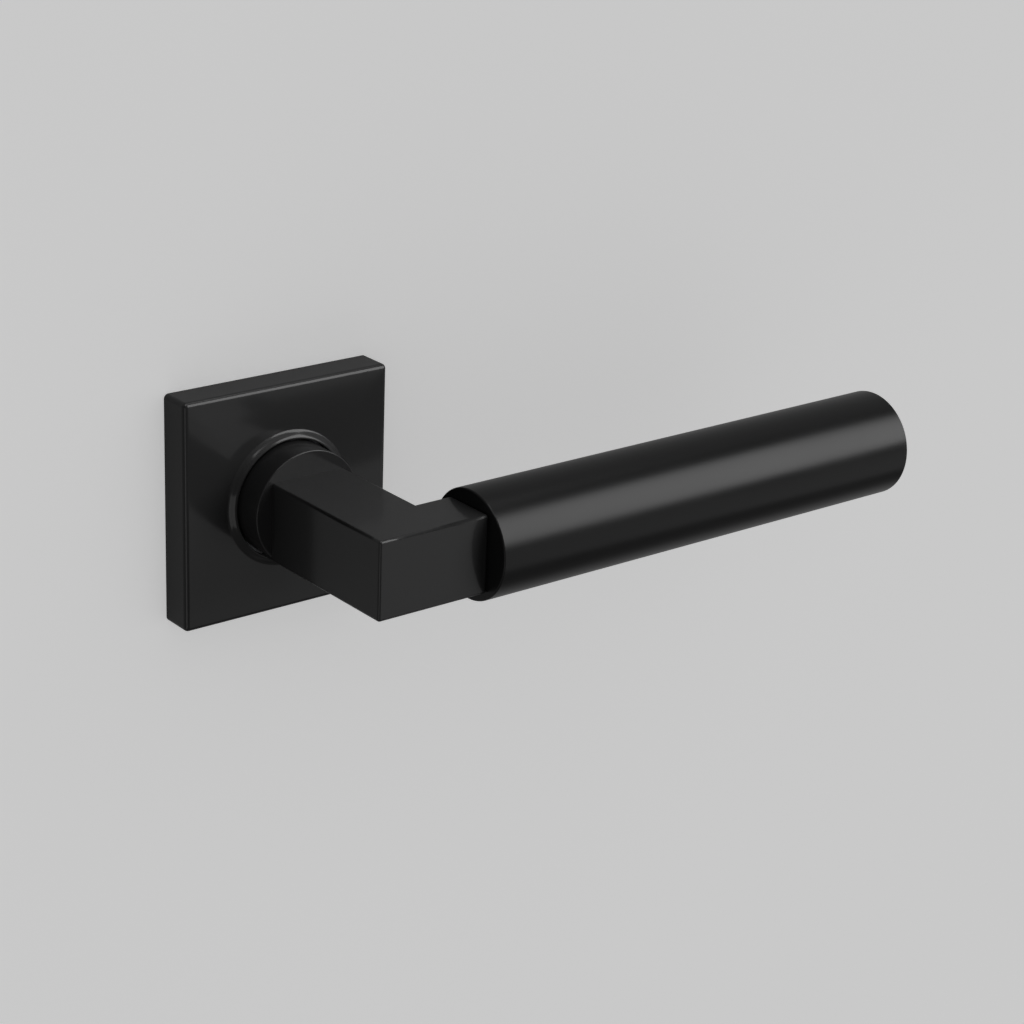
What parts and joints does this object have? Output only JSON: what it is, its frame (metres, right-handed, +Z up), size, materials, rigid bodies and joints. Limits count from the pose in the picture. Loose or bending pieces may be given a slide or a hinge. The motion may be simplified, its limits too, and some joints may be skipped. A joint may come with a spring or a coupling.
{
  "type": "door lever handle",
  "caption": "Lever door handle with a square rose, a round collar, a square cranked neck and a straight round grip, with its return spring, spindle and fixings.",
  "frame": {"origin": "on the spindle's axis, in the plane of the door's face, midway between the two through bolts", "axes": "+X along the grip, away from the spindle; +Y into the door, along the spindle; +Z up"},
  "size_m": [0.1645, 0.1059, 0.052],
  "materials": {
    "black_powder": "satin powder coat",
    "black_grip": "smooth satin powder coat",
    "black_screw": "black oxide",
    "zinc_casting": "dark passivated",
    "nylon": "matt, graphite filled",
    "spring_steel": "oiled",
    "dark_spring_steel": "phosphated",
    "plated_steel": "zinc plated",
    "brass_plated": "yellow passivated"
  },
  "bodies": {
    "rose": {"rose_cover": "black_powder", "cover_clip": "spring_steel", "cover_screw": "black_screw", "base_plate": "zinc_casting", "neck_bush": "nylon", "thrust_washer": "nylon", "wave_washer": "spring_steel", "stop_pins": "plated_steel", "return_spring": "spring_steel", "fixing_bolts": "plated_steel", "wood_screws": "brass_plated"},
    "lever": {"lever_neck": "black_powder", "spring_cam": "plated_steel", "circlip": "dark_spring_steel", "spindle": "plated_steel", "spindle_screw": "black_screw", "grip_sleeve": "black_grip", "grip_bolt": "black_screw", "grip_washer": "plated_steel", "grip_dowel": "plated_steel", "grip_cap": "black_grip"}
  },
  "joints": [
    {"name": "lever_turn", "type": "hinge", "parent": "rose", "child": "lever", "pos_m": [0, 0, 0], "axis": [0, 1, 0], "range_deg": [0, 45], "stiffness_Nm_per_rad": 0.8, "springref_deg": -45.84, "deforming": ["return_spring"]}
  ]
}
